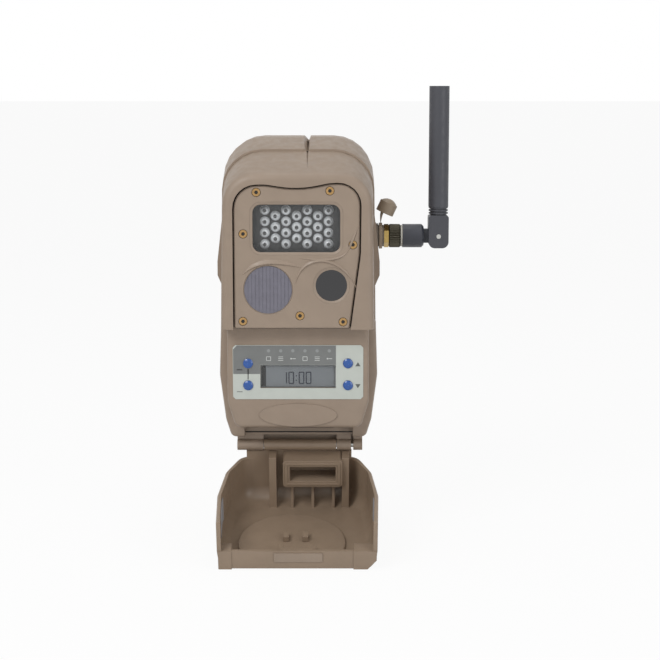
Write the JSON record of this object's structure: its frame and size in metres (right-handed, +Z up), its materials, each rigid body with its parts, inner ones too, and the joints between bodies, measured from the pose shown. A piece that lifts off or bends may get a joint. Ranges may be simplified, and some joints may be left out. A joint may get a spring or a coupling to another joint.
{
  "type": "trail camera",
  "caption": "Wireless trail camera with a hood, infrared lamps, motion sensor, control panel under a drop-down door, battery tray and folding antenna.",
  "frame": {"origin": "mouth of the tripod thread in the middle of the back", "axes": "+Z up, +Y back towards the tree, -Y the way the lens looks, +X to the right seen from the front"},
  "size_m": [0.1328, 0.1269, 0.263],
  "materials": {
    "housing_plastic": "moulded satin",
    "gasket_rubber": "matte",
    "screw_steel": "zinc, yellowed",
    "steel_parts": "bright",
    "contact_metal": "nickel plated",
    "shield_tin": "tin plated",
    "board_green": "solder mask",
    "board_black": "solder mask",
    "black_plastic": "matte",
    "tray_plastic": "matte",
    "clear_window": "clear polycarbonate",
    "lamp_epoxy": "clear epoxy",
    "sensor_lens": "translucent, fine ribs",
    "dark_glass": "tinted",
    "label_film": "printed film",
    "display": "reflective display",
    "status_lens": "clear pipe",
    "key_rubber": "glossy dome",
    "cell_wrap": "printed wrap, no text",
    "paper": "blank",
    "jack_brass": "machined",
    "boot_rubber": "matte",
    "cap_rubber": "matte",
    "collar_metal": "black nickel, knurled",
    "ring_plastic": "plain",
    "antenna_plastic": "satin",
    "whip_rubber": "satin"
  },
  "bodies": {
    "camera_body": {"rear_housing": "housing_plastic", "front_housing": "housing_plastic", "housing_gasket": "gasket_rubber", "housing_screws": "screw_steel", "bezel": "housing_plastic", "bezel_gasket": "gasket_rubber", "bezel_screws": "screw_steel", "led_window": "clear_window", "lamp_tray": "black_plastic", "led_board": "board_black", "ir_leds": "lamp_epoxy", "pir_lens": "sensor_lens", "pir_sensor": "shield_tin", "lens_window": "dark_glass", "lens_barrel": "black_plastic", "sensor_board": "board_green", "main_board": "board_green", "radio_module": "shield_tin", "control_board": "board_green", "panel_label": "label_film", "lcd_glass": "clear_window", "lcd_module": "display", "status_leds": "status_lens", "tact_switches": "black_plastic", "card_socket": "shield_tin", "bay_contacts": "contact_metal", "hinge_pin": "steel_parts", "antenna_jack": "jack_brass", "jack_boot": "boot_rubber", "jack_nut": "steel_parts", "dust_cap": "cap_rubber", "antenna_collar": "collar_metal", "tripod_insert": "jack_brass"},
    "door_body": {"door": "housing_plastic", "collar_gasket": "gasket_rubber", "door_latch": "housing_plastic", "sticker_left": "paper", "sticker_right": "paper"},
    "mode_button": {"button_mode": "key_rubber"},
    "more_button": {"button_more": "key_rubber"},
    "up_button": {"button_up": "key_rubber"},
    "down_button": {"button_down": "key_rubber"},
    "card_body": {"memory_card": "black_plastic"},
    "tray_body": {"battery_tray": "tray_plastic", "battery_cells": "cell_wrap", "battery_springs": "steel_parts", "battery_contacts": "contact_metal"},
    "antenna_base_body": {"antenna_base": "antenna_plastic", "antenna_ring": "ring_plastic", "elbow_pin": "steel_parts"},
    "whip_body": {"antenna_whip": "whip_rubber"}
  },
  "joints": [
    {"name": "door_hinge", "type": "hinge", "parent": "camera_body", "child": "door_body", "pos_m": [0, -0.06, -0.0729], "axis": [-1, 0, 0], "range_deg": [0, 106]},
    {"name": "mode_press", "type": "slide", "parent": "camera_body", "child": "mode_button", "axis": [0, 1, 0], "range_m": [0, 0.0007], "stiffness_N_per_m": 400},
    {"name": "more_press", "type": "slide", "parent": "camera_body", "child": "more_button", "axis": [0, 1, 0], "range_m": [0, 0.0007], "stiffness_N_per_m": 400},
    {"name": "up_press", "type": "slide", "parent": "camera_body", "child": "up_button", "axis": [0, 1, 0], "range_m": [0, 0.0007], "stiffness_N_per_m": 400},
    {"name": "down_press", "type": "slide", "parent": "camera_body", "child": "down_button", "axis": [0, 1, 0], "range_m": [0, 0.0007], "stiffness_N_per_m": 400},
    {"name": "card_slide", "type": "slide", "parent": "camera_body", "child": "card_body", "axis": [0, 0, 1], "range_m": [-0.028, 0]},
    {"name": "tray_slide", "type": "slide", "parent": "camera_body", "child": "tray_body", "axis": [0, 0, 1], "range_m": [-0.13, 0]},
    {"name": "antenna_swivel", "type": "hinge", "parent": "camera_body", "child": "antenna_base_body", "pos_m": [0.0598, -0.048, 0.048], "axis": [1, 0, 0], "continuous": true},
    {"name": "antenna_elbow", "type": "hinge", "parent": "antenna_base_body", "child": "whip_body", "pos_m": [0.0805, -0.048, 0.048], "axis": [0, 1, 0], "range_deg": [0, 90]}
  ]
}
